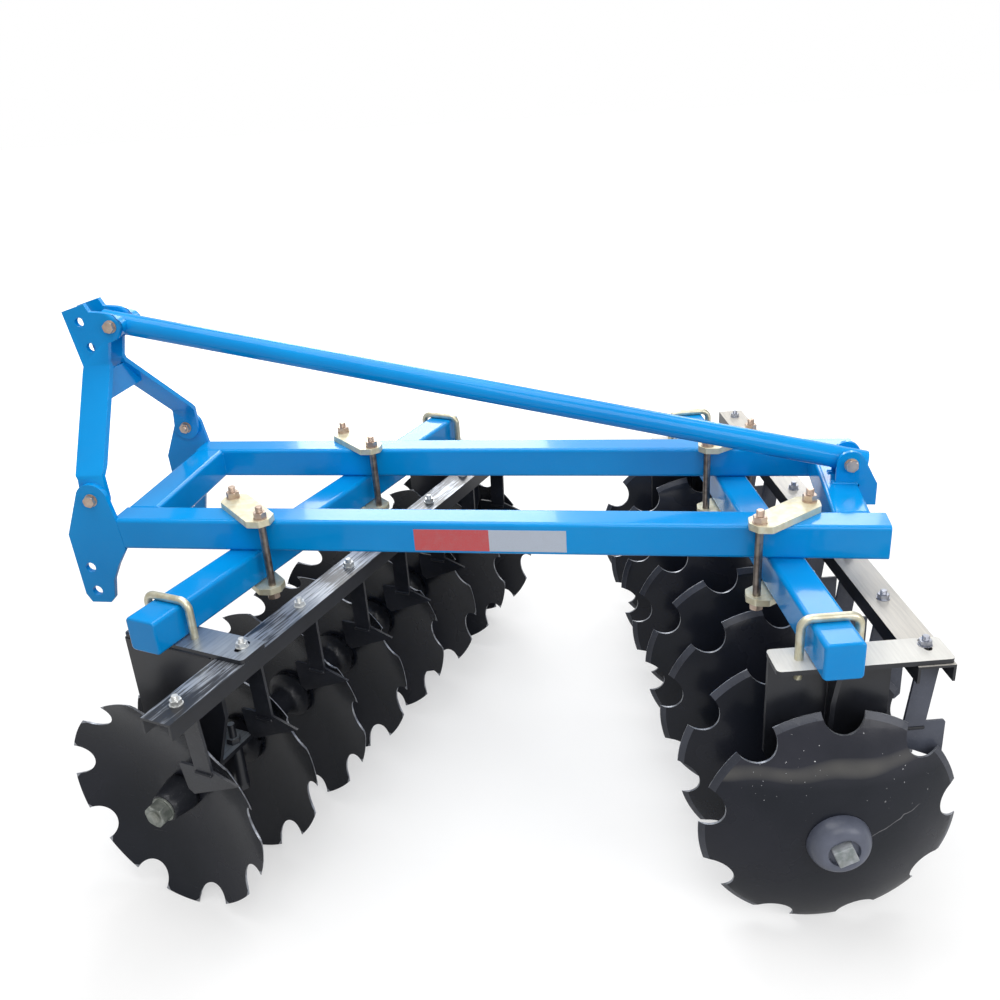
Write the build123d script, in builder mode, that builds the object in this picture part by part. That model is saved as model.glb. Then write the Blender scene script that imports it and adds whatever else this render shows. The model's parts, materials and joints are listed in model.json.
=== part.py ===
from build123d import *
from math import atan2, cos, hypot, radians, sin, sqrt, tan
import os

# A mounted offset disc harrow. Units are millimetres. +X is forward, +Y is the left side, +Z is up.
# The machine stands on its discs, and the floor is at Z = 0. It is drawn about the frame's own middle,
# and each piece is then saved about the middle of the whole outline, which the gangs put off centre.
outlineMiddle = (-9.16, -97.11)

# Main frame: two side tubes and two cross tubes of one square section.
tube = 90.0
tubeCorner = 11.0
sideTubeY = 260.0
frontCrossX = 935.0
rearCrossX = -948.0
rearOverhang = 33.0

# Discs and their gangs.
discDiameter = 610.0
discThickness = 6.0
dishRadius = 640.0
hubFlatRadius = 76.0
rimBevel = 14.0
rimEdge = 2.0
notchCount = 9
notchRadius = 50.0
discsPerGang = 8
discSpacing = 230.0

# Gang axles: a square bar with spools between the discs, a bell washer under the bar's head on the
# last disc's round side, and a boss, washer and nut at the other end.
axleSquare = 42.0
spoolRadius = 70.0
spoolFlange = 14.0
spoolWaist = 36.0
bellRadius = 74.0
bellHeight = 45.0
bellMouth = 39.0
bellWall = 10.0
headLength = 58.0
bossRadius = 50.0
bossNose = 38.0
bossLength = 75.0
washerRadius = 34.0
washerThickness = 6.0
axleNutWidth = 57.0
axleNutHeight = 30.0
axleTail = 8.0
axleThread = 36.0

# Gang tubes lie under the side tubes.
gangTube = 90.0
gangTubeCorner = 11.0
gangTubeLeft = 700.0
gangTubeRight = -845.0
gangTubeDrop = 430.0

# Bearing hangers under the gang tubes.
hangerPlate = 12.0
hangerWidth = 92.0
hangerFront = 126.0
uprightRear = -155.0
uprightShoulder = 150.0
ribDepth = 65.0
ribNeck = 32.0
ribNeckDrop = 112.0
ribFoot = 20.0
slotLength = 50.0
slotWidth = 18.0
footRise = 80.0
footHalf = 110.0
housingRadius = 56.0
housingHalf = 46.0
journalRadius = 30.0
bearingClearance = 0.05
capBoss = 18.0
capBossOut = 85.0
capBossDrop = 40.0
capBolt = 10.0
capBoltTail = 40.0
capNutWidth = 32.0
capNutHeight = 16.0

# U-bolts that hold the hangers.
uBoltRod = 20.0
uBoltGap = 10.0
uBoltBend = 24.0
uBoltTail = 39.0
uBoltNutHeight = 16.0
uBoltNutWidth = 30.0

# Clamps that hold the gang tubes to the frame.
clampLength = 226.0
clampWidth = 78.0
clampPlate = 18.0
clampCut = 24.0
clampRounding = 8.0
clampStudSpacing = 184.0
clampStudRadius = 10.0
clampNutHeight = 18.0
clampNutWidth = 31.0
clampStudTail = 15.0

# Scraper beams and scrapers. A scraper's bolt, bar and blade are measured from its disc's hub.
channelWidth = 84.0
channelHeight = 42.0
channelWall = 6.0
channelEnd = 68.0
scraperBoltRadius = 8.0
scraperNutWidth = 25.0
scraperNutHeight = 13.0
scraperBoltTail = 11.0
scraperFoot = 50.0
scraperBar = 50.0
scraperThickness = 8.0
scraperNeck = 26.0
scraperDrift = 18.0
scraperLap = 14.0
bladeStandOff = 89.5
bladeHeight = 102.0
bladeHeel = 48.0
bladeTip = 72.0
bladeTipDrop = 28.0
bladeThickness = 6.0
bladeRounding = 14.0

# Hitch plates, mast and brace.
hitchPlate = 16.0
mastPlate = 16.0
mastGap = 62.0
mastFootRise = 58.0
mastLegRise = 232.0
mastHeadRise = 184.0
lugRadius = 45.0
lugRise = 57.0
mastFootRadius = 40.0
mastBoltRadius = 12.0
lowerLinkHoleRadius = 14.5
topLinkHoleRadius = 13.0
gussetThickness = 10.0
gussetHeight = 77.0
gussetDrop = 6.0
gussetFace = 1052.0
braceRadius = 30.15
braceWall = 5.0
braceOverhang = 44.0
braceRise = 53.0
braceLugPlate = 12.0
braceLugRadius = 36.0
braceLugRun = 46.0
braceLugDrop = 60.0
braceBoltRadius = 12.0
boltHeadWidth = 36.0
boltHeadHeight = 15.0

axisZ = discDiameter / 2
gangTubeTop = axisZ + gangTubeDrop + gangTube
frameBottom = gangTubeTop
frameTop = frameBottom + tube
frameMid = frameBottom + tube / 2
gangTubeBottom = gangTubeTop - gangTube
hangerTop = gangTubeBottom
hangerUnder = hangerTop - hangerPlate
frontFace = frontCrossX + tube / 2
rearFace = rearCrossX - tube / 2
sideOuter = sideTubeY + tube / 2

# One row per gang: name, where its centre line crosses Y = 0, its angle, which way its discs' hollow
# sides face (1 is left), the left disc's hub, how far the axle lies ahead of the gang tube, the scraper
# beam's offset, a scraper's bolt from its disc's hub, the blades' top edge below the beam, places of
# the left and right hanger, and how far a hanger's upright plate lies left of it.
gangs = [
    ("front", 533.0, 16.5, 1, 676.0, 5.0, -206.0, 149.0, 219.0, (602.0, -795.0), 38.0),
    ("rear", -731.0, -11.4, -1, 706.0, -18.0, -223.0, -118.0, 174.0, (605.0, -790.0), -25.0),
]
notchTurns = [13.0, 33.0]

sides = [("left", 1), ("right", -1)]

os.makedirs("parts", exist_ok=True)


def save(part, name):
    piece = part.moved(Location((-outlineMiddle[0], -outlineMiddle[1], 0)))
    piece.label = name
    export_step(piece, "parts/" + name + ".step")


def gangPlane(crossX, angle, height):
    # A level plane over a gang: its X runs forward across the gang, its Y runs left along it.
    return Plane(origin=(crossX, 0, height), x_dir=(cos(radians(angle)), -sin(radians(angle)), 0),
                 z_dir=(0, 0, 1))


def gangSection(crossX, angle, along, height=0.0):
    # An upright plane across a gang: its X runs forward, its Y runs up, and it faces right.
    base = gangPlane(crossX, angle, height)
    origin = base.from_local_coords(Vector(0, along, 0))
    return Plane(origin=origin, x_dir=base.x_dir, z_dir=-base.y_dir)


def squareTube(plane, size, corner, length):
    with BuildPart() as bar:
        with BuildSketch(plane):
            RectangleRounded(size, size, corner)
        extrude(amount=length)
    return bar.part


def tangentPoint(centre, radius, point, side):
    # Where a line from a point touches a circle, on the side that is given as 1 or -1.
    away = atan2(point[1] - centre[1], point[0] - centre[0])
    distance = hypot(point[0] - centre[0], point[1] - centre[1])
    turn = away + side * (radians(90) - atan2(radius, sqrt(distance ** 2 - radius ** 2)))
    return (centre[0] + radius * cos(turn), centre[1] + radius * sin(turn))


# Hitch plate, drawn in X and Z: a rounded lug above, a blunt point in front, and a tapered foot.
mastBolt = (1028.0, frameTop + lugRise)
hitchPoint = (1122.0, frameTop - 47.0)
hitchToe = (1115.0, frameTop - 232.0)
hitchSole = frameTop - 258.0
hitchSoleFront = 1101.0
hitchSoleRear = 1044.0
hitchHeel = (1030.0, frameTop - 243.0)
hitchNeck = (1018.0, frameTop - 185.0)
hitchKnee = (994.0, frameTop - 139.0)
hitchRearFoot = (962.0, frameBottom)
hitchRearTop = (970.0, frameTop - 8.0)
lowerLinkHoles = [(1080.0, frameTop - 148.0), (1077.0, frameTop - 221.0)]


def hitchOutline(plane):
    frontTouch = tangentPoint(mastBolt, lugRadius, hitchPoint, 1)
    rearTouch = tangentPoint(mastBolt, lugRadius, hitchRearTop, -1)
    with BuildSketch(plane) as outline:
        with BuildLine():
            Polyline(frontTouch, hitchPoint, hitchToe, (hitchSoleFront, hitchSole), (hitchSoleRear, hitchSole),
                     hitchHeel, hitchNeck, hitchKnee, hitchRearFoot, hitchRearTop, rearTouch, mastBolt, close=True)
        make_face()
        with Locations(mastBolt):
            Circle(lugRadius)
    return outline.sketch


for side, sign in sides:
    outer = sign * sideOuter
    facing = Plane(origin=(0, outer, 0), x_dir=(1, 0, 0), z_dir=(0, -1, 0))
    inward = hitchPlate if sign > 0 else -hitchPlate

    with BuildPart() as hitch:
        extrude(hitchOutline(facing), amount=inward)
        with BuildSketch(facing):
            with Locations(*lowerLinkHoles):
                Circle(lowerLinkHoleRadius)
            with Locations(mastBolt):
                Circle(mastBoltRadius)
        extrude(amount=inward, mode=Mode.SUBTRACT)
    save(hitch.part, side + "_hitch_plate")

    # Side tube, let in at its front end so that the hitch plate lies flush with its outer face.
    with BuildPart() as sideTube:
        with BuildSketch(Plane(origin=(rearFace - rearOverhang, sign * sideTubeY, frameMid),
                               x_dir=(0, 1, 0), z_dir=(1, 0, 0))):
            RectangleRounded(tube, tube, tubeCorner)
        extrude(amount=frontFace - rearFace + rearOverhang)
        extrude(hitchOutline(facing), amount=inward, mode=Mode.SUBTRACT)
    save(sideTube.part, side + "_side_tube")

for name, crossX in [("front", frontCrossX), ("rear", rearCrossX)]:
    span = 2 * (sideTubeY - tube / 2)
    place = Plane(origin=(crossX, -span / 2, frameMid), x_dir=(1, 0, 0), z_dir=(0, 1, 0))
    save(squareTube(place, tube, tubeCorner, span), name + "_cross_tube")

# Mast: two bent plates, close together at the head and spread to the hitch plates at the foot.
mastFootY = sideOuter - hitchPlate - mastPlate
mastHeadY = mastGap / 2
mastBendFoot = mastBolt[1] + mastFootRise
mastBendTop = mastBendFoot + mastLegRise
mastHeadTop = mastBendTop + mastHeadRise
mastFootBottom = mastBolt[1] - mastFootRadius
braceBolt = (1017.0, mastHeadTop - 65.0)
topLinkHoles = [(1107.0, mastHeadTop - 51.0), (1090.0, mastHeadTop - 123.0)]
mastSpread = atan2(mastFootY - mastHeadY, mastLegRise)
mastShift = mastPlate * tan(mastSpread / 2)
flank = Plane(origin=(0, 0, 0), x_dir=(1, 0, 0), z_dir=(0, -1, 0))

for side, sign in sides:
    with BuildPart() as mast:
        with BuildSketch(Plane(origin=(0, 0, 0), x_dir=(0, sign, 0), z_dir=(sign, 0, 0))):
            with BuildLine():
                Polyline((mastHeadY, mastHeadTop), (mastHeadY, mastBendTop), (mastFootY, mastBendFoot),
                         (mastFootY, mastFootBottom), (mastFootY + mastPlate, mastFootBottom),
                         (mastFootY + mastPlate, mastBendFoot + mastShift),
                         (mastHeadY + mastPlate, mastBendTop + mastShift),
                         (mastHeadY + mastPlate, mastHeadTop), close=True)
            make_face()
        extrude(amount=sign * 2 * mastBolt[0])
        with BuildSketch(flank):
            with BuildLine():
                Polyline((1154, mastHeadTop - 21), (1084, mastHeadTop - 1), (1073, mastHeadTop - 23),
                         (1008, mastHeadTop - 29), (968, mastHeadTop - 59), (996, mastHeadTop - 100),
                         (1034, mastHeadTop - 112), (1047, mastBendTop + 17), (990, mastBendFoot + 20),
                         (988, mastBolt[1]), (1068, mastBolt[1]), (1064, mastBendFoot - 6),
                         (1125, mastBendTop - 4), close=True)
            make_face()
            with Locations(mastBolt):
                Circle(mastFootRadius)
            with Locations(*topLinkHoles):
                Circle(topLinkHoleRadius, mode=Mode.SUBTRACT)
            with Locations(mastBolt, braceBolt):
                Circle(mastBoltRadius, mode=Mode.SUBTRACT)
        extrude(amount=sideOuter, both=True, mode=Mode.INTERSECT)
    save(mast.part, side + "_mast_plate")

# Gusset between the mast plates, just below their upper bend.
gussetTop = mastBendTop - gussetDrop
gussetHalfTop = mastHeadY + gussetDrop * tan(mastSpread)
gussetHalfFoot = gussetHalfTop + gussetHeight * tan(mastSpread)
with BuildPart() as gusset:
    with BuildSketch(Plane(origin=(gussetFace, 0, gussetTop), x_dir=(0, 1, 0), z_dir=(1, 0, 0))):
        with BuildLine():
            Polyline((-gussetHalfTop, 0), (gussetHalfTop, 0), (gussetHalfFoot, -gussetHeight),
                     (-gussetHalfFoot, -gussetHeight), close=True)
        make_face()
    extrude(amount=gussetThickness)
save(gusset.part, "mast_gusset")

# Brace pipe from the mast's head down to the rear cross tube.
braceRear = (rearCrossX - 22.0, frameTop + braceRise)
braceLength = hypot(braceBolt[0] - braceRear[0], braceBolt[1] - braceRear[1])
braceDir = Vector((braceBolt[0] - braceRear[0]) / braceLength, 0, (braceBolt[1] - braceRear[1]) / braceLength)
braceStart = Vector(braceRear[0], 0, braceRear[1]) - braceDir * braceOverhang
with BuildPart() as brace:
    with BuildSketch(Plane(origin=braceStart, x_dir=(0, 1, 0), z_dir=braceDir)):
        Circle(braceRadius)
        Circle(braceRadius - braceWall, mode=Mode.SUBTRACT)
    extrude(amount=braceLength + 2 * braceOverhang)
    with BuildSketch(flank):
        with Locations(braceBolt, braceRear):
            Circle(braceBoltRadius)
    extrude(amount=braceRadius * 2, both=True, mode=Mode.SUBTRACT)
save(brace.part, "brace_pipe")

# Two lugs on the rear cross tube carry the brace's rear end. They wrap over the tube's rear top edge.
for side, sign in sides:
    lugInner = sign * mastGap / 2
    with BuildPart() as lug:
        with BuildSketch(Plane(origin=(0, lugInner, 0), x_dir=(1, 0, 0), z_dir=(0, -1, 0))):
            with Locations(braceRear):
                Circle(braceLugRadius)
            with BuildLine():
                Polyline((braceRear[0] + braceLugRadius, braceRear[1]), (braceRear[0] + braceLugRadius, frameTop),
                         (rearFace, frameTop), (rearFace, frameTop - braceLugDrop),
                         (rearFace - braceLugRun, frameTop - braceLugDrop), (rearFace - braceLugRun, frameTop),
                         tangentPoint(braceRear, braceLugRadius, (rearFace - braceLugRun, frameTop), -1),
                         close=True)
            make_face()
            with Locations(braceRear):
                Circle(braceBoltRadius, mode=Mode.SUBTRACT)
        extrude(amount=-sign * braceLugPlate)
    save(lug.part, side + "_brace_lug")


def crossBolt(centre, radius, inner, outer, name):
    # A bolt along Y through (X, Z) centre, its head outside the outer face and its nut on the other.
    low = min(inner, outer)
    high = max(inner, outer)
    with BuildPart() as bolt:
        with BuildSketch(Plane(origin=(centre[0], low, centre[1]), x_dir=(1, 0, 0), z_dir=(0, 1, 0))):
            Circle(radius)
        extrude(amount=high - low)
        with BuildSketch(Plane(origin=(centre[0], high, centre[1]), x_dir=(1, 0, 0), z_dir=(0, 1, 0))):
            RegularPolygon(boltHeadWidth / 2, 6, major_radius=False)
        extrude(amount=boltHeadHeight)
        with BuildSketch(Plane(origin=(centre[0], low, centre[1]), x_dir=(1, 0, 0), z_dir=(0, -1, 0))):
            RegularPolygon(boltHeadWidth / 2, 6, major_radius=False)
        extrude(amount=boltHeadHeight)
    save(bolt.part, name)


for side, sign in sides:
    crossBolt(mastBolt, mastBoltRadius, sign * mastFootY, sign * sideOuter, side + "_mast_bolt")
crossBolt(braceBolt, braceBoltRadius, -mastHeadY - mastPlate, mastHeadY + mastPlate, "brace_front_bolt")
crossBolt(braceRear, braceBoltRadius, -mastHeadY - braceLugPlate, mastHeadY + braceLugPlate, "brace_rear_bolt")

def dish(radius):
    # How far a disc's surface lies from its flat hub at a radius.
    return sqrt(dishRadius ** 2 - hubFlatRadius ** 2) - sqrt(dishRadius ** 2 - radius ** 2)


def makeDisc(plane, notchTurn):
    # The plane is the hub's face on the hollow side, and its normal points out of the hollow.
    rim = discDiameter / 2
    bevel = rim - rimBevel
    middle = (hubFlatRadius + bevel) / 2
    with BuildPart() as disc:
        with BuildSketch(Plane.XZ):
            with BuildLine():
                ThreePointArc((hubFlatRadius, 0), (middle, dish(middle)), (rim, dish(rim)))
                Polyline((rim, dish(rim)), (rim, dish(rim) - rimEdge), (bevel, dish(bevel) - discThickness))
                ThreePointArc((bevel, dish(bevel) - discThickness), (middle, dish(middle) - discThickness),
                              (hubFlatRadius, -discThickness))
                Polyline((hubFlatRadius, -discThickness), (0, -discThickness), (0, 0), (hubFlatRadius, 0))
            make_face()
        revolve(axis=Axis.Z)
        with BuildSketch(Plane.XY.offset(-2 * discThickness)):
            Rectangle(axleSquare, axleSquare)
            with PolarLocations(rim, notchCount, start_angle=notchTurn):
                Circle(notchRadius)
        extrude(amount=dish(rim) + 4 * discThickness, mode=Mode.SUBTRACT)
    return disc.part.moved(plane.location)


def roundPiece(frontward, along, profile):
    # A turned piece on a gang's axle, from a profile of (radius, place) pairs along the axle.
    axleLine = Plane(origin=frontward.from_local_coords(Vector(0, along, 0)), x_dir=frontward.x_dir,
                     z_dir=frontward.z_dir)
    with BuildPart() as turned:
        with BuildSketch(axleLine):
            with BuildLine():
                Polyline(*profile, close=True)
            make_face()
        revolve(axis=Axis(axleLine.origin, axleLine.y_dir))
    return turned.part


half = discThickness / 2
legs = gangTube / 2 + uBoltGap + uBoltRod / 2
clampTurn = {"front": 135, "rear": 45}

for (gang, crossX, angle, hollow, firstHub, axleAhead, channelMid, scraperBolt, bladeDrop, hangers,
     uprightShift) in gangs:
    level = gangPlane(crossX, angle, 0)
    axle = Plane(origin=level.from_local_coords(Vector(axleAhead, 0, axisZ)), x_dir=level.x_dir,
                 z_dir=(0, 0, 1))
    hubs = [firstHub - index * discSpacing for index in range(discsPerGang)]

    # Gang tube.
    place = gangSection(crossX, angle, gangTubeLeft, gangTubeTop - gangTube / 2)
    save(squareTube(place, gangTube, gangTubeCorner, gangTubeLeft - gangTubeRight), gang + "_gang_tube")

    # Discs, numbered from the left.
    for index, hub in enumerate(hubs):
        face = Plane(origin=axle.from_local_coords(Vector(0, hub + hollow * half, 0)), x_dir=axle.x_dir,
                     z_dir=axle.y_dir * hollow)
        save(makeDisc(face, -hollow * notchTurns[index % 2]), gang + "_disc_" + str(index + 1))

    # Axle. The bar's head end is on the round side of the discs, and its nut end on the hollow side.
    nutHub = hubs[0] if hollow > 0 else hubs[-1]
    headHub = hubs[-1] if hollow > 0 else hubs[0]
    bossFace = nutHub + hollow * half
    washerFace = bossFace + hollow * bossLength
    nutFace = washerFace + hollow * washerThickness
    headFace = headHub - hollow * half
    with BuildPart() as shaft:
        with BuildSketch(gangSection(crossX, angle, max(headFace, washerFace), axisZ)):
            with Locations((axleAhead, 0)):
                Rectangle(axleSquare, axleSquare)
        extrude(amount=abs(washerFace - headFace))
        with BuildSketch(gangSection(crossX, angle, max(headFace - hollow * headLength, headFace), axisZ)):
            with Locations((axleAhead, 0)):
                Rectangle(axleSquare, axleSquare, rotation=45)
        extrude(amount=headLength)
        for upper, lower in zip(hubs, hubs[1:]):
            high = upper - half
            low = lower + half
            carried = min(abs(place - (low + high) / 2) for place in hangers) < hangerWidth
            waist = journalRadius if carried else spoolWaist
            add(roundPiece(axle, 0, [(0, low), (spoolRadius, low), (spoolRadius, low + spoolFlange),
                                     (waist + spoolFlange, low + 1.6 * spoolFlange),
                                     (waist, low + 3 * spoolFlange), (waist, high - 3 * spoolFlange),
                                     (waist + spoolFlange, high - 1.6 * spoolFlange),
                                     (spoolRadius, high - spoolFlange), (spoolRadius, high), (0, high)]))
        add(roundPiece(axle, bossFace, [(0, 0), (bossRadius, 0), (bossRadius, hollow * spoolFlange),
                                        (bossNose, hollow * bossLength), (0, hollow * bossLength)]))
        add(roundPiece(axle, washerFace, [(0, 0), (washerRadius, 0), (washerRadius, hollow * washerThickness),
                                          (0, hollow * washerThickness)]))
        add(roundPiece(axle, nutFace, [(0, 0), (axleThread / 2, 0),
                                       (axleThread / 2, hollow * (axleNutHeight + axleTail)),
                                       (0, hollow * (axleNutHeight + axleTail))]))
        with BuildSketch(gangSection(crossX, angle, max(nutFace, nutFace + hollow * axleNutHeight), axisZ)):
            with Locations((axleAhead, 0)):
                RegularPolygon(axleNutWidth / 2, 6, major_radius=False)
        extrude(amount=axleNutHeight)
        add(roundPiece(axle, headFace, [(0, 0), (bellRadius, 0), (bellRadius, -hollow * bellWall / 2),
                                        (bellRadius * 0.86, -hollow * bellHeight * 0.6),
                                        (bellMouth, -hollow * bellHeight),
                                        (bellMouth, -hollow * bellHeight / 2), (0, -hollow * bellHeight / 2)]))
    save(shaft.part, gang + "_gang_axle")

    # Bearing hangers and the U-bolts that hold them.
    for (side, sign), centre in zip(sides, hangers):
        plateAt = centre + uprightShift
        plateRear = channelMid - channelWidth / 2
        bolt = min([hub + scraperBolt for hub in hubs], key=lambda spot: abs(spot - centre))
        bearing = min([(upper + lower) / 2 for upper, lower in zip(hubs, hubs[1:])],
                      key=lambda spot: abs(spot - centre))
        footTop = axisZ + footRise + hangerPlate
        footLeft = max(plateAt + hangerPlate / 2, bearing + housingHalf)
        footRight = min(plateAt - hangerPlate / 2, bearing - housingHalf)
        with BuildPart() as hanger:
            with BuildSketch(gangPlane(crossX, angle, hangerUnder)):
                with Locations(((hangerFront + plateRear) / 2, centre)):
                    RectangleRounded(hangerFront - plateRear, hangerWidth, hangerPlate)
                with Locations((legs, centre), (-legs, centre)):
                    Circle(uBoltRod / 2, mode=Mode.SUBTRACT)
                with Locations((channelMid, bolt)):
                    SlotOverall(slotLength, slotWidth, rotation=90, mode=Mode.SUBTRACT)
            extrude(amount=hangerPlate)
            with BuildSketch(gangSection(crossX, angle, plateAt + hangerPlate / 2)):
                with BuildLine():
                    Polyline((hangerFront, hangerUnder), (hangerFront, footTop + uprightShoulder / 2),
                             (axleAhead + footHalf, footTop), (axleAhead - footHalf, footTop),
                             (uprightRear, footTop + uprightShoulder), (uprightRear, hangerUnder), close=True)
                make_face()
            extrude(amount=hangerPlate)
            with BuildSketch(Plane(origin=level.from_local_coords(Vector(axleAhead - hangerPlate / 2, 0, 0)),
                                   x_dir=level.y_dir, z_dir=level.x_dir)):
                with BuildLine():
                    Polyline((plateAt, hangerUnder), (plateAt - hollow * ribDepth, hangerUnder),
                             (plateAt - hollow * ribNeck, hangerUnder - ribNeckDrop),
                             (plateAt - hollow * ribFoot, footTop), (plateAt, footTop), close=True)
                make_face()
            extrude(amount=hangerPlate)
            with BuildSketch(gangPlane(crossX, angle, axisZ + footRise)):
                with Locations((axleAhead, (footLeft + footRight) / 2)):
                    Rectangle(2 * footHalf, footLeft - footRight)
            extrude(amount=hangerPlate)
            with BuildSketch(gangPlane(crossX, angle, axisZ - capBossDrop)):
                with Locations((axleAhead - capBossOut, bearing), (axleAhead + capBossOut, bearing)):
                    Circle(capBoss)
            extrude(amount=capBossDrop + footRise)
            with BuildSketch(gangPlane(crossX, angle, axisZ)):
                with Locations((axleAhead, bearing)):
                    Rectangle(2 * capBossOut, 2 * capBoss)
            extrude(amount=footRise)
            with BuildSketch(gangSection(crossX, angle, bearing + housingHalf, axisZ)):
                with Locations((axleAhead, 0)):
                    Circle(housingRadius)
            extrude(amount=2 * housingHalf)
            with BuildSketch(gangPlane(crossX, angle, axisZ - capBossDrop - capNutHeight)):
                with Locations((axleAhead - capBossOut, bearing), (axleAhead + capBossOut, bearing)):
                    RegularPolygon(capNutWidth / 2, 6, major_radius=False)
            extrude(amount=capNutHeight)
            with BuildSketch(gangPlane(crossX, angle, footTop)):
                with Locations((axleAhead - capBossOut, bearing), (axleAhead + capBossOut, bearing)):
                    RegularPolygon(capNutWidth / 2, 6, major_radius=False)
            extrude(amount=capNutHeight)
            with BuildSketch(gangPlane(crossX, angle, footTop)):
                with Locations((axleAhead - capBossOut, bearing), (axleAhead + capBossOut, bearing)):
                    Circle(capBolt)
            extrude(amount=capNutHeight + capBoltTail)
            with BuildSketch(gangSection(crossX, angle, bearing + 2 * housingHalf, axisZ)):
                with Locations((axleAhead, 0)):
                    Circle(journalRadius + bearingClearance)
            extrude(amount=4 * housingHalf, mode=Mode.SUBTRACT)
        save(hanger.part, gang + "_" + side + "_hanger")

        tail = hangerUnder - uBoltTail
        crown = gangTubeTop + uBoltRod / 2
        with BuildPart() as uBolt:
            with BuildLine(gangSection(crossX, angle, centre)) as path:
                FilletPolyline((-legs, tail), (-legs, crown), (legs, crown), (legs, tail), radius=uBoltBend)
            with BuildSketch(Plane(origin=path.line @ 0, z_dir=path.line % 0)):
                Circle(uBoltRod / 2)
            sweep()
            with BuildSketch(gangPlane(crossX, angle, hangerUnder - uBoltNutHeight)):
                with Locations((legs, centre), (-legs, centre)):
                    RegularPolygon(uBoltNutWidth / 2, 6, major_radius=False)
            extrude(amount=uBoltNutHeight)
        save(uBolt.part, gang + "_" + side + "_u_bolt")

    # Clamps over each crossing of a side tube and the gang tube.
    for side, sign in sides:
        crossing = (crossX + tan(radians(angle)) * sign * sideTubeY, sign * sideTubeY, 0)
        over = Plane(origin=crossing, z_dir=(0, 0, 1)).rotated((0, 0, clampTurn[gang]))
        studLow = gangTubeBottom - clampPlate - clampNutHeight
        studHigh = frameTop + clampPlate + clampNutHeight + clampStudTail
        with BuildPart() as clamp:
            for height in (frameTop, gangTubeBottom - clampPlate):
                with BuildSketch(over.offset(height)) as plan:
                    Rectangle(clampLength, clampWidth)
                    chamfer(plan.vertices(), clampCut)
                    fillet(plan.vertices(), clampRounding)
                extrude(amount=clampPlate)
            with BuildSketch(over.offset(studLow)):
                with Locations((clampStudSpacing / 2, 0), (-clampStudSpacing / 2, 0)):
                    Circle(clampStudRadius)
            extrude(amount=studHigh - studLow)
            for height in (studLow, frameTop + clampPlate):
                with BuildSketch(over.offset(height)):
                    with Locations((clampStudSpacing / 2, 0), (-clampStudSpacing / 2, 0)):
                        RegularPolygon(clampNutWidth / 2, 6, major_radius=False)
                extrude(amount=clampNutHeight)
        save(clamp.part, gang + "_" + side + "_clamp")

    # Scraper beam: a channel with a scraper bolted under it for each disc. All scrapers are alike, so
    # the heel of a blade lies ahead of its bar on one gang and behind it on the other.
    channelLeft = hubs[0] + scraperBolt + channelEnd
    channelRight = hubs[-1] + scraperBolt - channelEnd
    webUnder = hangerUnder - channelWall
    neckZ = webUnder - scraperNeck
    barStandOff = abs(scraperBolt) - scraperFoot / 2
    lean = atan2(barStandOff - bladeStandOff, bladeDrop + bladeHeight / 2)
    slant = (bladeDrop - scraperNeck - channelWall) / cos(lean)
    barUp = Vector(0, 0, cos(lean)) + level.y_dir * (hollow * sin(lean))
    with BuildPart() as scrapers:
        with BuildSketch(gangSection(crossX, angle, channelLeft, hangerUnder)):
            with Locations((channelMid, -channelHeight / 2)):
                Rectangle(channelWidth, channelHeight)
            with Locations((channelMid, -channelWall - channelHeight / 2)):
                Rectangle(channelWidth - 2 * channelWall, channelHeight, mode=Mode.SUBTRACT)
        extrude(amount=channelLeft - channelRight)
        for hub in hubs:
            bolt = hub + scraperBolt
            bar = bolt - hollow * scraperFoot / 2
            under = min(abs(bolt - place) for place in hangers) < hangerWidth / 2
            seat = hangerTop if under else hangerUnder
            with BuildSketch(gangPlane(crossX, angle, webUnder - scraperThickness)):
                with Locations((channelMid, bolt)):
                    Rectangle(scraperBar, scraperFoot + scraperThickness)
            extrude(amount=scraperThickness)
            with BuildSketch(gangSection(crossX, angle, bar + scraperThickness / 2)):
                with Locations((channelMid, neckZ + scraperNeck / 2)):
                    Rectangle(scraperBar, scraperNeck)
            extrude(amount=scraperThickness)
            leaning = Plane(origin=level.from_local_coords(Vector(0, bar, neckZ)), x_dir=level.x_dir,
                            z_dir=level.x_dir.cross(barUp))
            with BuildSketch(leaning):
                with BuildLine():
                    Polyline((channelMid + scraperBar / 2, scraperThickness / 2),
                             (channelMid - scraperBar / 2, scraperThickness / 2),
                             (channelMid - scraperBar / 2 + scraperDrift, -slant - scraperLap),
                             (channelMid + scraperBar / 2 + scraperDrift, -slant - scraperLap), close=True)
                make_face()
            extrude(amount=scraperThickness / 2, both=True)
            heel = channelMid + scraperDrift + hollow * (scraperBar / 2 + bladeHeel)
            tip = channelMid + scraperDrift - hollow * (scraperBar / 2 + bladeTip)
            with BuildSketch(leaning) as blade:
                with BuildLine():
                    Polyline((heel, -slant), (channelMid + scraperDrift - hollow * scraperBar / 2, -slant),
                             (tip, -slant - bladeTipDrop), (heel - hollow * bladeRounding, -slant - bladeHeight),
                             (heel, -slant - bladeHeight + bladeRounding), close=True)
                make_face()
                fillet(blade.vertices().group_by(Axis.X)[-1 if hollow > 0 else 0], bladeRounding / 2)
            extrude(amount=bladeThickness / 2, both=True)
            with BuildSketch(gangPlane(crossX, angle, webUnder)):
                with Locations((channelMid, bolt)):
                    Circle(scraperBoltRadius)
            extrude(amount=seat - webUnder + scraperNutHeight + scraperBoltTail)
            with BuildSketch(gangPlane(crossX, angle, seat)):
                with Locations((channelMid, bolt)):
                    RegularPolygon(scraperNutWidth / 2, 6, major_radius=False)
            extrude(amount=scraperNutHeight)
    save(scrapers.part, gang + "_scraper_beam")
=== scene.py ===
import bpy
import json
from math import atan2, cos, hypot, pi, radians, sin, sqrt
from mathutils import Matrix, Vector

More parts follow.
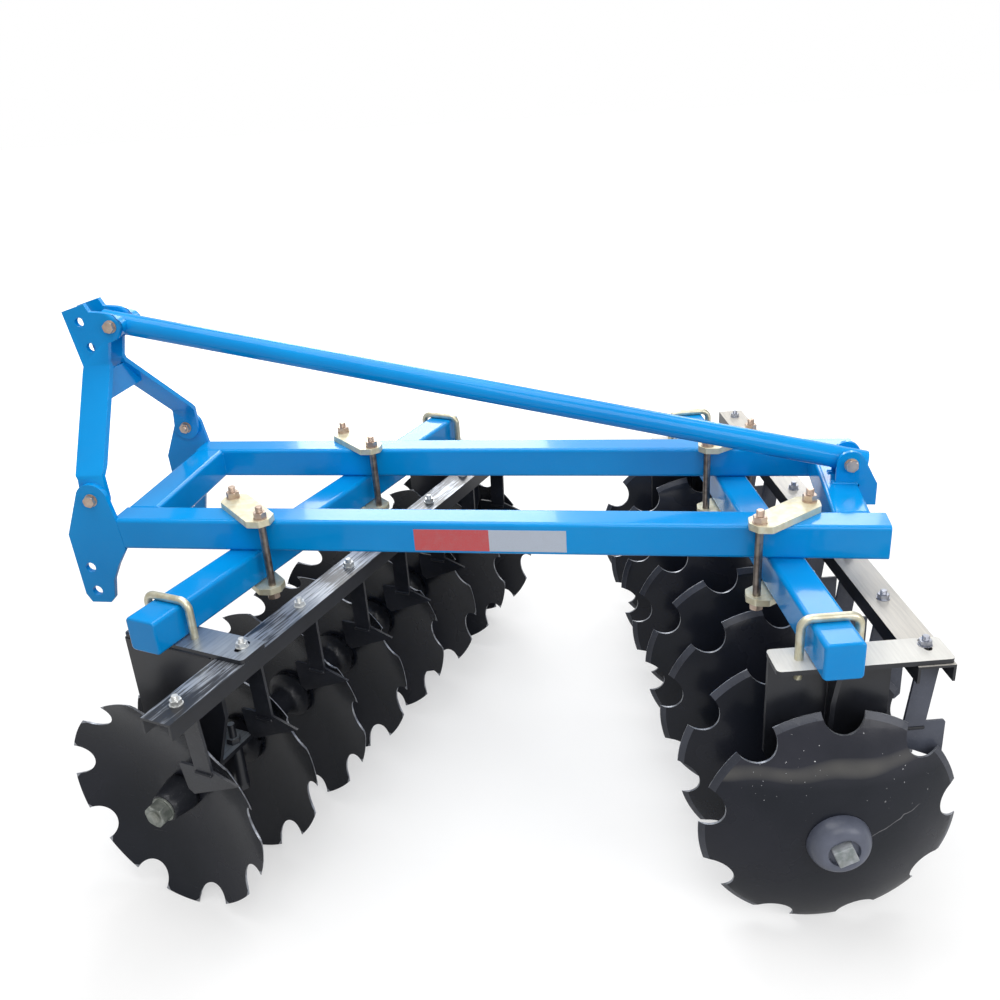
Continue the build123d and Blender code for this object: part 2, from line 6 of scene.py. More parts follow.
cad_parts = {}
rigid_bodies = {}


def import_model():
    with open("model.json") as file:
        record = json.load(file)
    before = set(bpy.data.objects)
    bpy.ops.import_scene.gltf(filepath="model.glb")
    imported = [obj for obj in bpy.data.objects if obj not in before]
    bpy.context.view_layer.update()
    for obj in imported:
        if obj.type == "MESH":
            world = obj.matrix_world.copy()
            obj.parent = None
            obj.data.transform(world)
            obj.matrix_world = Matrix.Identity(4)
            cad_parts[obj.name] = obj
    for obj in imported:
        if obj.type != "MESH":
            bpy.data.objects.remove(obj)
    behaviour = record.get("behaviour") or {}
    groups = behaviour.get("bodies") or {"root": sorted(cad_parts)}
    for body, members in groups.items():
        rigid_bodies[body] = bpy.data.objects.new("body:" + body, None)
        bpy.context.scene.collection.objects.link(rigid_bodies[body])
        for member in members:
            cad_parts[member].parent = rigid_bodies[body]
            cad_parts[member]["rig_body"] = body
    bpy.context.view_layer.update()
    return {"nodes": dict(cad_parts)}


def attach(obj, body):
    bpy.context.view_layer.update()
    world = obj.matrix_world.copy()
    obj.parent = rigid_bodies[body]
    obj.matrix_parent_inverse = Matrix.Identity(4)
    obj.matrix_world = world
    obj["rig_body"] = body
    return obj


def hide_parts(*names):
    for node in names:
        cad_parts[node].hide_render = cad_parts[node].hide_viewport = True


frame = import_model()
nodes = frame["nodes"]
print("frame loaded:", len(nodes), "nodes")


shiftX = 0.00916  # the model's own middle is moved to the middle of its outline
shiftY = 0.09711


def spot(x, y, z):
    # a place in millimetres from the frame's own middle
    return Vector((x / 1000 + shiftX, y / 1000 + shiftY, z / 1000))


# Each gang: where its tube crosses the frame's middle and how far it is turned, which way its discs are
# hollow, the first disc's hub along it, its axle and its scraper beam ahead of the tube, a scraper's bolt
# from its disc's hub and the blade's drop, the hangers along it and their upright plate, the clamps' turn.
gangs = {
    "front": {"crossX": 533.0, "angle": radians(16.5), "hollow": 1, "firstHub": 676.0, "axleAhead": 5.0,
              "beam": -206.0, "bolt": 149.0, "drop": 219.0, "hangers": (602.0, -795.0), "upright": 38.0,
              "turn": radians(135.0)},
    "rear": {"crossX": -731.0, "angle": radians(-11.4), "hollow": -1, "firstHub": 706.0, "axleAhead": -18.0,
             "beam": -223.0, "bolt": -118.0, "drop": 174.0, "hangers": (605.0, -790.0), "upright": -25.0,
             "turn": radians(45.0)}}

# what the pieces share, in millimetres; bossEnd is where the axle's nut seats, from its disc's hub
machine = {"axleHeight": 305.0, "discSpacing": 230.0, "discsPerGang": 8, "bossEnd": 78.0, "beamTop": 723.0,
           "plateTop": 735.0, "frameTop": 915.0, "sideTube": 260.0, "braceBolt": (1017.0, 1381.0),
           "braceFoot": (-970.0, 968.0)}


def gangMatrix(gang, ahead, along, height):
    # X runs forward across the gang, Y left along it, Z up
    angle = gangs[gang]["angle"]
    origin = spot(gangs[gang]["crossX"] + ahead * cos(angle) + along * sin(angle),
                  along * cos(angle) - ahead * sin(angle), height)
    return Matrix.Translation(origin) @ Matrix.Rotation(-angle, 4, "Z")


def gangPlace(gang, point):
    # the other way: how far a point lies ahead of the gang tube, along it, and up
    x = (point.x - shiftX) * 1000 - gangs[gang]["crossX"]
    y = (point.y - shiftY) * 1000
    angle = gangs[gang]["angle"]
    return x * cos(angle) - y * sin(angle), x * sin(angle) + y * cos(angle), point.z * 1000


def endHub(gang, end):
    # the hub of the disc at the end where the axle's nut or its bell washer sits
    atFirst = (gangs[gang]["hollow"] > 0) == (end == "nut")
    return gangs[gang]["firstHub"] - (0 if atFirst else machine["discSpacing"] * (machine["discsPerGang"] - 1))


def pick(obj):
    for other in bpy.context.selected_objects:
        other.select_set(False)
    bpy.context.view_layer.objects.active = obj
    obj.select_set(True)
    return obj


def unpickMesh(obj):
    for part in (*obj.data.polygons, *obj.data.edges, *obj.data.vertices):
        part.select = False


def selectFaces(obj, test):
    # picks faces in object mode by their middle and normal
    unpickMesh(obj)
    for face in obj.data.polygons:
        if test(face.center, face.normal):
            face.select = True
            for index in face.vertices:
                obj.data.vertices[index].select = True


def selectRing(obj, test):
    # picks vertices by their place, with the edges between them
    unpickMesh(obj)
    for vertex in obj.data.vertices:
        vertex.select = bool(test(vertex.co))
    for edge in obj.data.edges:
        edge.select = all(obj.data.vertices[index].select for index in edge.vertices)


def editMode(kind="FACE"):
    bpy.ops.object.mode_set(mode="EDIT")
    bpy.ops.mesh.select_mode(type=kind)


def objectMode():
    bpy.ops.object.mode_set(mode="OBJECT")


def selectAll():
    bpy.ops.mesh.select_all(action="SELECT")


def facesOut():
    # turns every face outwards and leaves edit mode
    selectAll()
    bpy.ops.mesh.normals_make_consistent(inside=False)
    objectMode()


def applyModifiers(obj):
    pick(obj)
    for modifier in list(obj.modifiers):
        bpy.ops.object.modifier_apply(modifier=modifier.name)


def settle(obj):
    # puts the object at the origin with its place in its mesh
    pick(obj)
    bpy.ops.object.transform_apply(location=True, rotation=True, scale=True)
    return obj


def joined(pieces, name):
    pick(pieces[0])
    for piece in pieces[1:]:
        piece.select_set(True)
    bpy.ops.object.join()
    pieces[0].name = name
    return pieces[0]


def easeEdges(obj, width, segments, angle=30, strength="FSTR_NONE"):
    # bevels the edges sharper than an angle; face strength keeps flat faces flat when normals are weighted
    bevel = obj.modifiers.new("edge", "BEVEL")
    bevel.width = width
    bevel.segments = segments
    bevel.limit_method = "ANGLE"
    bevel.angle_limit = radians(angle)
    bevel.face_strength_mode = strength
    applyModifiers(obj)


def pullRing(height, scale):
    # extrudes the picked ring upwards and widens or narrows it about the Z axis
    bpy.ops.mesh.extrude_region_move(TRANSFORM_OT_translate={"value": (0, 0, height)})
    bpy.ops.transform.resize(value=(scale, scale, 1), center_override=(0, 0, 0))


def closeFoot(obj, height):
    # fills the open ring at the foot and turns the faces outwards
    selectRing(obj, lambda point: point.z < height)
    editMode("VERT")
    bpy.ops.mesh.edge_face_add()
    facesOut()


def repeatUp(obj, step, count, merge):
    # stacks a short length on itself along Z
    array = obj.modifiers.new("repeat", "ARRAY")
    array.use_relative_offset = False
    array.use_constant_offset = True
    array.constant_offset_displace = (0, 0, step)
    array.count = count
    array.use_merge_vertices = True
    array.merge_threshold = merge
    applyModifiers(obj)


def shift(height):
    return Matrix.Translation((0, 0, height))


def alignedTo(origin, run):
    # Z along a run
    return Matrix.Translation(origin) @ run.to_track_quat("Z", "Y").to_matrix().to_4x4()


def placed(template, matrix):
    copy = bpy.data.objects.new(template.name, template.data.copy())
    bpy.context.scene.collection.objects.link(copy)
    copy.data.transform(matrix)
    return copy


def dropTemplates(*templates):
    # removes what was modelled once and has been copied
    for template in templates:
        bpy.data.objects.remove(template)


def finished(obj, material, body, angle=35):
    if material:
        obj.data.materials.clear()
        obj.data.materials.append(material)
    pick(obj)
    bpy.ops.object.shade_smooth_by_angle(angle=radians(angle))
    even = obj.modifiers.new("even_normals", "WEIGHTED_NORMAL")
    even.keep_sharp = True
    even.use_face_influence = True
    applyModifiers(obj)
    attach(obj, body)
    return obj


class Wire:
    # a socket that takes part in sums
    def __init__(self, nodes, socket):
        self.nodes = nodes
        self.socket = socket

    def sum(self, operation, first, second):
        return self.nodes.node("ShaderNodeMath", {"operation": operation}, [first, second])

    def __add__(self, other): return self.sum("ADD", self, other)
    def __radd__(self, other): return self.sum("ADD", other, self)
    def __sub__(self, other): return self.sum("SUBTRACT", self, other)
    def __rsub__(self, other): return self.sum("SUBTRACT", other, self)
    def __mul__(self, other): return self.sum("MULTIPLY", self, other)
    def __rmul__(self, other): return self.sum("MULTIPLY", other, self)
    def __truediv__(self, other): return self.sum("DIVIDE", self, other)


class Nodes:
    # a node tree whose nodes are made by node(): a type, its settings, its sockets' values, its output
    def __init__(self, tree):
        self.tree = tree

    def node(self, kind, settings, inputs, output=0):
        made = self.tree.nodes.new(kind)
        for name, value in settings.items():
            if name == "stops":
                ramp = made.color_ramp
                while len(ramp.elements) < len(value):
                    ramp.elements.new(0.5)
                for element, (position, level) in zip(ramp.elements, value):
                    element.position = position
                    element.color = (level, level, level, 1.0)
            else:
                setattr(made, name, value)
        pairs = inputs.items() if isinstance(inputs, dict) else enumerate(inputs)
        for name, value in pairs:
            socket = made.inputs[name]
            if isinstance(value, Wire):
                self.tree.links.new(value.socket, socket)
            else:
                socket.default_value = value
        return Wire(self, made.outputs[output])

    def ray(self, kind):
        return self.node("ShaderNodeLightPath", {}, [], "Is " + kind + " Ray")


class Paint(Nodes):
    # one material, whose results are fed to its shader
    def __init__(self, name, constants):
        self.material = bpy.data.materials.new(name)
        self.material.use_nodes = True
        super().__init__(self.material.node_tree)
        self.shader = self.tree.nodes["Principled BSDF"]
        for socket, value in constants.items():
            self.shader.inputs[socket].default_value = value
        self.place = self.node("ShaderNodeTexCoord", {}, [], "Object")

    def noise(self, scale, detail=3.0, rough=0.5, stretch=None, turn=None):
        place = self.place
        if turn:
            place = self.node("ShaderNodeMapping", {}, {"Vector": place, "Rotation": (0.0, 0.0, turn)})
        if stretch:
            place = self.node("ShaderNodeMapping", {}, {"Vector": place, "Scale": stretch})
        return self.node("ShaderNodeTexNoise", {}, {"Vector": place, "Scale": scale, "Detail": detail,
                                                    "Roughness": rough})

    def ramp(self, value, *stops):
        # a grey ramp given as (position, level) pairs
        return self.node("ShaderNodeValToRGB", {"stops": stops}, [value])

    def rise(self, value, low, high):
        # 0 up to the low value, 1 from the high one
        return self.ramp(value, (low, 0.0), (high, 1.0))

    def blendColour(self, factor, first, second):
        # colours are wires, or plain (red, green, blue)
        first, second = ((*tone, 1.0) if isinstance(tone, tuple) else tone for tone in (first, second))
        return self.node("ShaderNodeMix", {"data_type": "RGBA"}, {0: factor, 6: first, 7: second}, 2)

    def along(self, axis, vector):
        return self.node("ShaderNodeSeparateXYZ", {}, [vector], axis)

    def upward(self, low, high):
        # 1 on faces that look up
        normal = self.node("ShaderNodeNewGeometry", {}, [], "Normal")
        return self.rise(self.along("Z", normal), low, high)

    def edges(self, radius, low, high):
        # 1 along sharp edges, from the difference between the bevelled normal and the face's own
        bevel = self.node("ShaderNodeBevel", {"samples": 6}, {"Radius": radius})
        normal = self.node("ShaderNodeNewGeometry", {}, [], "Normal")
        same = self.node("ShaderNodeVectorMath", {"operation": "DOT_PRODUCT"}, [bevel, normal], "Value")
        return self.rise(1.0 - same, low, high)

    def feed(self, values):
        for name, value in values.items():
            self.tree.links.new(value.socket, self.shader.inputs[name])

    def bump(self, height, strength, distance):
        self.feed({"Normal": self.node("ShaderNodeBump", {}, {"Height": height, "Strength": strength,
                                                             "Distance": distance}, "Normal")})
        return self.material


def makeBluePaint():
    look = {"deep": (0.0005, 0.240, 0.63), "light": (0.001, 0.305, 0.74),
            "dust": (0.12, 0.34, 0.56), "chip": (0.08, 0.10, 0.12)}
    paint = Paint("blue_gloss_paint", {"Roughness": 0.22, "Coat Weight": 0.3, "Coat Roughness": 0.05,
                                       "Specular IOR Level": 0.12})
    cloud = paint.noise(2.4, 4.0)
    peel = paint.noise(260.0, 2.0)
    drips = paint.noise(14.0, 3.0, 0.5, (1.0, 1.0, 0.25))
    specks = paint.rise(paint.noise(420.0, 1.0), 0.68, 0.74)
    dirt = paint.rise(paint.noise(9.0, 6.0, 0.65), 0.52, 0.85)
    worn = paint.edges(0.002, 0.02, 0.16) * paint.rise(paint.noise(60.0, 4.0), 0.60, 0.72)
    base = paint.blendColour(paint.rise(cloud, 0.3, 0.7), look["deep"], look["light"])
    base = paint.blendColour(dirt * 0.06 + specks * 0.08, base, look["dust"])
    base = paint.blendColour(worn * 0.5, base, look["chip"])
    paint.feed({"Base Color": base, "Roughness": 0.14 + dirt * 0.16 + drips * 0.06 + worn * 0.3})
    return paint.bump(peel * 0.4 + drips * 0.8 + specks * 0.3, 0.12, 0.0012)


def makeDiscPaint(name, reflectionAndScratch):
    # satin black; for the nearest rear disc, the second argument adds a painted reflection (a lighter wavy band
    # where the horizon would show, and a paler upper part where the sky would show), as well as its scratch and
    # its chips
    look = {"deep": (0.0080, 0.0105, 0.0160), "light": (0.0180, 0.0195, 0.0285),
            "dust": (0.20, 0.20, 0.21), "reflectedHorizon": (0.115, 0.112, 0.105),
            "reflectedSky": (0.062, 0.062, 0.078), "chip": (0.55, 0.56, 0.58)}
    paint = Paint(name, {"Roughness": 0.3, "Coat Weight": 0.12, "Coat Roughness": 0.12,
                         "Specular IOR Level": 0.19})
    cloud = paint.noise(3.2, 5.0)
    wavy = paint.noise(5.0, 2.0)
    specks = paint.rise(paint.noise(170.0, 1.0), 0.775, 0.790)
    fine = paint.rise(paint.noise(600.0, 1.0), 0.70, 0.76)
    scratch = paint.rise(paint.noise(9.0, 6.0, 0.7, (1.0, 1.0, 22.0)), 0.68, 0.71)
    base = paint.blendColour(paint.rise(cloud, 0.35, 0.7), look["deep"], look["light"])
    base = paint.blendColour(fine * 0.06 + scratch * 0.10, base, look["dust"])
    if reflectionAndScratch:
        height = paint.along("Z", paint.place)
        offset = (height - reflectionAndScratch["height"] + (paint.noise(3.4, 1.0) - 0.5) * reflectionAndScratch["wave"]) / reflectionAndScratch["half"]
        # painted reflection: a lighter wavy band at a set height, where the horizon would be reflected
        horizonReflection = (paint.ramp(offset * offset, (0.0, 1.0), (1.0, 0.0))
                * paint.ramp(paint.noise(7.0, 2.0), (0.30, 0.35), (0.6, 1.0)))
        # painted reflection: the disc is paler above a set height, where the sky would be reflected
        skyReflection = paint.rise(height, 0.44, 0.49) * paint.ramp(cloud, (0.3, 0.4), (0.65, 1.0))
        base = paint.blendColour(skyReflection * 0.5, base, look["reflectedSky"])
        base = paint.blendColour(horizonReflection * reflectionAndScratch["strength"], base, look["reflectedHorizon"])
        beside = (reflectionAndScratch["axle"] - paint.along("X", paint.place)) / reflectionAndScratch["foreshort"]
        line = (height - reflectionAndScratch["lineHeight"] - (beside - reflectionAndScratch["lineStart"]) * reflectionAndScratch["lineRise"]
                + (paint.noise(30.0, 2.0) - 0.5) * 0.02) / reflectionAndScratch["lineHalf"]
        inside = (paint.rise(beside, reflectionAndScratch["lineStart"] - 0.006, reflectionAndScratch["lineStart"] + 0.004)
                  * paint.ramp(beside, (reflectionAndScratch["lineEnd"] - 0.015, 1.0), (reflectionAndScratch["lineEnd"], 0.0)))
        line = paint.ramp(line * line, (0.4, 1.0), (1.0, 0.0)) * inside
        base = paint.blendColour(line * 0.7, base, look["dust"])
        specks = specks * paint.rise(height, 0.36, 0.46)
        base = paint.blendColour(specks, base, look["chip"])
    paint.feed({"Base Color": base, "Roughness": 0.17 + cloud * 0.18 + scratch * 0.15})
    return paint.bump(wavy * 1.6 + paint.noise(120.0, 3.0) * 0.12 + specks * 0.3, 0.3, 0.004)


def makeBlackPaint(name, wear, grain, shade=1.0):
    # satin black on plates, channels and castings, with bare metal where wear is given
    look = {"deep": (0.008 * shade, 0.009 * shade, 0.0125 * shade),
            "light": (0.020 * shade, 0.022 * shade, 0.029 * shade),
            "dust": (0.15, 0.15, 0.15), "bare": (0.42, 0.42, 0.43)}
    paint = Paint(name, {"Roughness": 0.35, "Coat Weight": 0.18, "Coat Roughness": 0.2,
                         "Specular IOR Level": 0.3})
    cloud = paint.noise(6.0, 5.0)
    specks = paint.rise(paint.noise(260.0, 1.0), 0.68, 0.73)
    rub = paint.rise(paint.noise(24.0, 6.0, 0.7), 0.50, 0.62)
    rim = paint.edges(0.0016, 0.03, 0.22)
    bare = rim * rub * wear
    base = paint.blendColour(paint.rise(cloud, 0.35, 0.7), look["deep"], look["light"])
    base = paint.blendColour(specks * 0.25, base, look["dust"])
    base = paint.blendColour(bare, base, look["bare"])
    paint.feed({"Base Color": base, "Roughness": 0.26 + cloud * 0.22, "Metallic": bare * 0.8})
    return paint.bump(paint.noise(grain, 3.0) + specks * 0.3, 0.3, 0.0014)


def makeWornTop(name, look, turn):
    # black paint whose upward faces are worn to steel, with fine lines that run along the gang
    black = {"deep": (0.008, 0.009, 0.0125), "light": (0.018, 0.020, 0.027)}
    paint = Paint(name, {"Roughness": 0.3, "Coat Weight": 0.15, "Coat Roughness": 0.2})
    cloud = paint.noise(5.0, 4.0, 0.55)
    brushed = paint.noise(6.0, 5.0, 0.6, (30.0, 1.6, 2.0), turn)
    patch = paint.rise(cloud + (brushed - 0.5) * look["streak"], look["low"], look["high"])
    bare = paint.upward(0.75, 0.95) * patch
    steel = paint.blendColour(paint.rise(brushed, 0.3, 0.7), look["dull"], look["steel"])
    base = paint.blendColour(paint.rise(paint.noise(6.0, 4.0), 0.35, 0.7), black["deep"], black["light"])
    base = paint.blendColour(bare, base, steel)
    paint.feed({"Base Color": base, "Metallic": bare * look["metal"],
                "Roughness": 0.28 + brushed * 0.12 + bare * 0.05})
    return paint.bump(brushed * 0.3 + paint.noise(300.0, 2.0) * 0.2, 0.16, 0.0006)


def makeZinc(name, bright, warm, rough, metal):
    # plated or bare steel, clouded between two tones, with a few stains
    stain = (0.36, 0.33, 0.28)
    paint = Paint(name, {"Metallic": metal, "Roughness": rough})
    cloud = paint.noise(26.0, 4.0)
    tint = paint.rise(paint.noise(55.0, 3.0), 0.35, 0.65)
    grain = paint.noise(500.0, 2.0)
    base = paint.blendColour(tint, bright, warm)
    base = paint.blendColour(paint.rise(cloud, 0.55, 0.8) * 0.35, base, stain)
    paint.feed({"Base Color": base, "Roughness": rough + cloud * 0.16 - 0.05})
    return paint.bump(grain * 0.6 + cloud * 0.6, 0.15, 0.0008)


stripLook = {"front": 144.0, "rear": -250.0, "middle": -52.0, "height": 865.5, "width": 60.0, "side": 305.0,
             "thickness": 0.6, "rim": 0.0002, "pale": (0.47, 0.53, 0.63), "red": (0.56, 0.055, 0.065),
             "seam": (0.30, 0.30, 0.32), "dust": (0.35, 0.35, 0.36)}


def makeStrip():
    # retroreflective film: a fine cell pattern under a clear face
    paint = Paint("reflective_strip", {"Roughness": 0.28, "Coat Weight": 0.6, "Coat Roughness": 0.08})
    red = paint.node("ShaderNodeMath", {"operation": "GREATER_THAN"},
                     [paint.along("X", paint.place), spot(stripLook["middle"], 0, 0).x])
    cells = paint.node("ShaderNodeTexVoronoi", {"feature": "DISTANCE_TO_EDGE"},
                       {"Vector": paint.place, "Scale": 260.0}, "Distance")
    lines = paint.ramp(cells, (0.02, 1.0), (0.10, 0.0))
    base = paint.blendColour(red, stripLook["pale"], stripLook["red"])
    base = paint.blendColour(lines * 0.18, base, stripLook["seam"])
    dust = paint.rise(paint.noise(40.0, 3.0), 0.5, 0.8)
    paint.feed({"Base Color": paint.blendColour(dust * 0.12, base, stripLook["dust"])})
    return paint.bump(lines, 0.15, 0.0003)


scratchAxle = gangMatrix("rear", gangs["rear"]["axleAhead"], gangs["rear"]["firstHub"],
                       machine["axleHeight"]).translation.x
wornLooks = {
    "frontBeam": {"steel": (0.46, 0.49, 0.54), "dull": (0.15, 0.17, 0.20), "low": 0.42, "high": 0.57,
                  "streak": 0.9, "metal": 0.8},
    "rearBeam": {"steel": (0.56, 0.53, 0.475), "dull": (0.42, 0.40, 0.37), "low": 0.10, "high": 0.22,
                 "streak": 0.3, "metal": 0.15},
    "frontPlate": {"steel": (0.36, 0.40, 0.45), "dull": (0.26, 0.29, 0.33), "low": 0.34, "high": 0.54,
                   "streak": 0.4, "metal": 0.7},
    "rearPlate": {"steel": (0.66, 0.65, 0.61), "dull": (0.57, 0.56, 0.53), "low": 0.05, "high": 0.15,
                  "streak": 0.1, "metal": 0.1}}
bluePaint = makeBluePaint()
discPaint = makeDiscPaint("disc_satin_black", None)
# the nearest rear disc carries a painted reflection of the horizon and the sky, with its scratch and chips
reflectingDiscPaint = makeDiscPaint("disc_satin_black_painted_reflection", {
    "height": 0.470, "wave": 0.16, "half": 0.020, "strength": 0.75, "axle": scratchAxle, "foreshort": 0.98,
    "lineHeight": 0.312, "lineStart": 0.076, "lineEnd": 0.190, "lineRise": 0.48, "lineHalf": 0.0016})
castPaint = makeBlackPaint("cast_black_paint", 0.25, 90.0)
domePaint = makeBlackPaint("dome_grey_paint", 0.3, 120.0, 8.0)
bladePaint = {"front": makeBlackPaint("scraper_black_paint", 0.3, 160.0, 1.3),
              "rear": makeBlackPaint("scraper_grey_paint", 0.3, 160.0, 4.5)}
bevelPaint = makeBlackPaint("ground_bevel_paint", 0.0, 200.0, 3.2)
stripPaint = makeStrip()
hangerPaint = {"front": makeWornTop("scuffed_front_plate", wornLooks["frontPlate"], gangs["front"]["angle"]),
               "rear": makeWornTop("worn_rear_plate", wornLooks["rearPlate"], gangs["rear"]["angle"])}
beamPaint = {"front": makeWornTop("worn_front_beam", wornLooks["frontBeam"], gangs["front"]["angle"]),
             "rear": makeWornTop("worn_rear_beam", wornLooks["rearBeam"], gangs["rear"]["angle"])}
yellowZinc = makeZinc("yellow_zinc", (0.80, 0.78, 0.62), (0.72, 0.66, 0.46), 0.42, 0.6)
rodZinc = makeZinc("rod_zinc", (0.74, 0.72, 0.58), (0.62, 0.57, 0.40), 0.34, 0.75)
nutZinc = makeZinc("nut_zinc", (0.66, 0.54, 0.45), (0.52, 0.39, 0.31), 0.34, 0.8)
boltZinc = {"front": makeZinc("bright_bolt_zinc", (0.78, 0.79, 0.78), (0.62, 0.63, 0.62), 0.36, 0.75),
            "rear": makeZinc("dark_bolt_zinc", (0.46, 0.48, 0.54), (0.32, 0.33, 0.38), 0.34, 0.85)}
studSteel = makeZinc("stud_steel", (0.30, 0.26, 0.23), (0.16, 0.13, 0.12), 0.30, 0.85)
axleSteel = makeZinc("axle_nut_steel", (0.36, 0.38, 0.35), (0.20, 0.22, 0.20), 0.40, 0.7)
forgedSteel = makeZinc("forged_head", (0.44, 0.46, 0.49), (0.24, 0.27, 0.27), 0.60, 0.3)
edgeSteel = makeZinc("cut_edge_steel", (0.46, 0.48, 0.52), (0.20, 0.21, 0.24), 0.40, 0.7)
print("materials made")


# merging and flattening the CAD's meshes; how nearly an edge or a face runs along a direction
limits = {"merge": 0.00002, "flat": radians(0.5), "apart": radians(18), "edge": 0.999, "side": 0.9999}


def coat(obj, material, test):
    # one more material on the faces that a test picks
    obj.data.materials.append(material)
    obj.active_material_index = len(obj.data.materials) - 1
    pick(obj)
    selectFaces(obj, test)
    editMode()
    bpy.ops.object.material_slot_assign()
    objectMode()


def roundCorners(obj, direction, width, test):
    # rounds the corners that a test picks, on edges that run one way between faces that stand apart
    sides = {}
    for face in obj.data.polygons:
        for key in face.edge_keys:
            sides.setdefault(key, []).append(face.normal)
    pick(obj)
    unpickMesh(obj)
    for edge in obj.data.edges:
        first, second = (obj.data.vertices[index].co for index in edge.vertices)
        normals = sides.get(tuple(sorted(edge.vertices)), [])
        apart = len(normals) == 2 and normals[0].angle(normals[1], 0) > limits["apart"]
        if apart and test((first + second) / 2):
            edge.select = abs((second - first).normalized().dot(direction)) > limits["edge"]
    editMode("EDGE")
    bpy.ops.mesh.bevel(offset=width, segments=6)
    objectMode()


def refillSides(obj, direction):
    # fills a plate's two flat sides anew, from its outline to its holes
    for sign in (1, -1):
        pick(obj)
        selectFaces(obj, lambda point, normal: sign * normal.dot(direction) > limits["side"])
        editMode()
        bpy.ops.mesh.delete(type="FACE")
        bpy.ops.mesh.select_mode(type="EDGE")
        bpy.ops.mesh.select_non_manifold()
        bpy.ops.mesh.fill(use_beauty=True)
        facesOut()


def eased(name, material, width=0.0012, angle=35, drop=None, flatten=True, corners=None, refill=None):
    # a finished piece in a CAD node's place: merged, without the faces to drop, and with its edges eased
    node = nodes[name]
    copy = bpy.data.objects.new(name + "_finished", node.data.copy())
    bpy.context.scene.collection.objects.link(copy)
    pick(copy)
    if drop:
        selectFaces(copy, drop)
        editMode()
        bpy.ops.mesh.delete(type="FACE")
        objectMode()
    editMode("VERT")
    selectAll()
    bpy.ops.mesh.remove_doubles(threshold=limits["merge"])
    if drop:
        bpy.ops.mesh.select_all(action="DESELECT")
        bpy.ops.mesh.select_non_manifold()
        bpy.ops.mesh.fill_holes(sides=0)
        selectAll()
    if flatten:
        bpy.ops.mesh.dissolve_limited(angle_limit=limits["flat"])
    objectMode()
    if corners:
        roundCorners(copy, *corners)
    if width:
        easeEdges(copy, width, 2, 50, "FSTR_ALL")
    if refill:
        refillSides(copy, refill)
    finished(copy, material, node["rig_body"], angle)
    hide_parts(name)
    return copy


for name in ("mast_gusset", "left_brace_lug", "right_brace_lug", "left_side_tube", "right_side_tube",
             "front_cross_tube", "rear_cross_tube"):
    eased(name, bluePaint)
for name in ("left_hitch_plate", "right_hitch_plate"):
    eased(name, bluePaint, refill=Vector((0, 1, 0)))
mastLug = {"round": 0.022, "reach": 0.060, "ahead": 8.0}  # the corners round the brace bolt
mastLug["bolt"] = spot(machine["braceBolt"][0], 0, machine["braceBolt"][1])
mastLug["limit"] = spot(machine["braceBolt"][0] + mastLug["ahead"], 0, 0).x
for name in ("left_mast_plate", "right_mast_plate"):
    eased(name, bluePaint, corners=(
        Vector((0, 1, 0)), mastLug["round"],
        lambda point: (hypot(point.x - mastLug["bolt"].x, point.z - mastLug["bolt"].z) < mastLug["reach"]
                       and point.x < mastLug["limit"])))


# Where the CAD's plain fasteners stand out of their plates, in millimetres: they are modelled anew below.
plain = {"beamTop": 723.8, "beamHalf": 20.0, "clampTop": 933.4, "clampFoot": 716.6, "uBoltFoot": 722.6,
         "nutEnd": machine["bossEnd"] + 0.3, "bellStart": 1.0}


def beamFastener(gang):
    return lambda point, normal: (gangPlace(gang, point)[2] > plain["beamTop"]
                                  and abs(gangPlace(gang, point)[0] - gangs[gang]["beam"]) < plain["beamHalf"])


def clampFastener(point, normal):
    return not plain["clampFoot"] < point.z * 1000 < plain["clampTop"]


def uBoltFastener(point, normal):
    return point.z * 1000 < plain["uBoltFoot"]


def axleEnds(gang):
    # the washer, nut and thread at one end, and the bell washer with the bar's head at the other
    hollow = gangs[gang]["hollow"]
    return lambda point, normal: (
        (gangPlace(gang, point)[1] - endHub(gang, "nut")) * hollow > plain["nutEnd"]
        or (endHub(gang, "bell") - gangPlace(gang, point)[1]) * hollow > plain["bellStart"])


def finishDisc(gang, number):
    look = {"cutTurn": 0.4, "cutFrom": 200.0, "bevelTurn": (0.7, 0.84), "bevelFrom": 290.0}
    size = gangs[gang]
    nearest = gang == "rear" and number == 1
    disc = eased(gang + "_disc_" + str(number), reflectingDiscPaint if nearest else discPaint, 0.0, 8,
                 flatten=False)
    axle = Vector((sin(size["angle"]), cos(size["angle"]), 0))

    def fromAxle(point):
        ahead, beside, height = gangPlace(gang, point)
        return hypot(ahead - size["axleAhead"], height - machine["axleHeight"])

    coat(disc, edgeSteel, lambda point, normal: (abs(normal.dot(axle)) < look["cutTurn"]
                                                 and fromAxle(point) > look["cutFrom"]))
    coat(disc, bevelPaint, lambda point, normal: (
        look["bevelTurn"][0] < abs(normal.dot(axle)) < look["bevelTurn"][1]
        and fromAxle(point) > look["bevelFrom"]))


coated = {"bladeTop": 0.690, "studs": (0.7353, 0.9147)}  # where a second paint goes on, by height in metres
for gang in gangs:
    eased(gang + "_gang_tube", bluePaint, 0.0060)
    for number in range(1, machine["discsPerGang"] + 1):
        finishDisc(gang, number)
    eased(gang + "_gang_axle", castPaint, 0.0, 28, axleEnds(gang), False)
    beam = eased(gang + "_scraper_beam", beamPaint[gang], 0.0010, 35, beamFastener(gang))
    coat(beam, bladePaint[gang], lambda point, normal: point.z < coated["bladeTop"])
    for side in ("left", "right"):
        eased(gang + "_" + side + "_hanger", hangerPaint[gang], 0.0012)
        eased(gang + "_" + side + "_u_bolt", rodZinc, 0.0, 35, uBoltFastener)
        clamp = eased(gang + "_" + side + "_clamp", yellowZinc, 0.0012, 35, clampFastener)
        coat(clamp, studSteel, lambda point, normal: coated["studs"][0] < point.z < coated["studs"][1])


